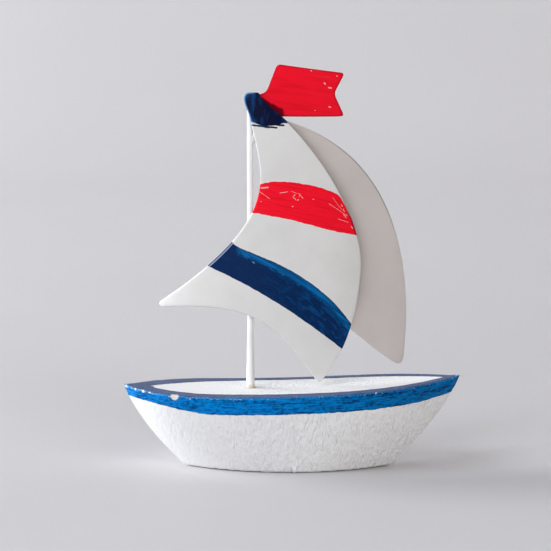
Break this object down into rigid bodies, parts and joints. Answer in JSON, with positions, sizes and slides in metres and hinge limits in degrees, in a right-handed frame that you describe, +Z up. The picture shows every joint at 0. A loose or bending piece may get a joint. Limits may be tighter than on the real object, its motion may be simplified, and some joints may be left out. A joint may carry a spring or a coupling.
{
  "type": "model sailboat ornament",
  "caption": "Small painted wooden sailboat ornament: pointed flat-bottomed hull, wire mast that turns in its socket, bent sheet-metal sails and a swallow-tailed pennant.",
  "frame": {"origin": "on the resting surface, under the middle of the hull's length and beam", "axes": "+X aft from the bow to the stern, +Y to port, +Z up"},
  "size_m": [0.12, 0.0328, 0.1438],
  "materials": {
    "painted_wood": "thick white wall paint brushed on wood, with a blue brushed gunwale band",
    "mast_paint": "satin off-white paint on steel wire",
    "front_sail_paint": "satin off-white paint with a brushed red stripe, a brushed blue stripe and a navy head",
    "rear_sail_paint": "satin off-white paint on sheet steel",
    "red_paint": "brushed glossy red paint with small white flecks",
    "painted_solder": "off-white paint over a bead of solder"
  },
  "bodies": {
    "hull_body": {"hull": "painted_wood"},
    "rig": {"mast": "mast_paint", "front_sail": "front_sail_paint", "rear_sail": "rear_sail_paint", "pennant": "red_paint", "head_solder": "painted_solder", "luff_solder": "painted_solder", "foot_solder": "painted_solder", "rear_head_solder": "painted_solder", "rear_tack_solder": "painted_solder", "pennant_solder": "painted_solder"}
  },
  "joints": [
    {"name": "rig_turn", "type": "hinge", "parent": "hull_body", "child": "rig", "pos_m": [-0.0147, 0, 0.0291], "axis": [0, 0, 1], "continuous": true}
  ]
}
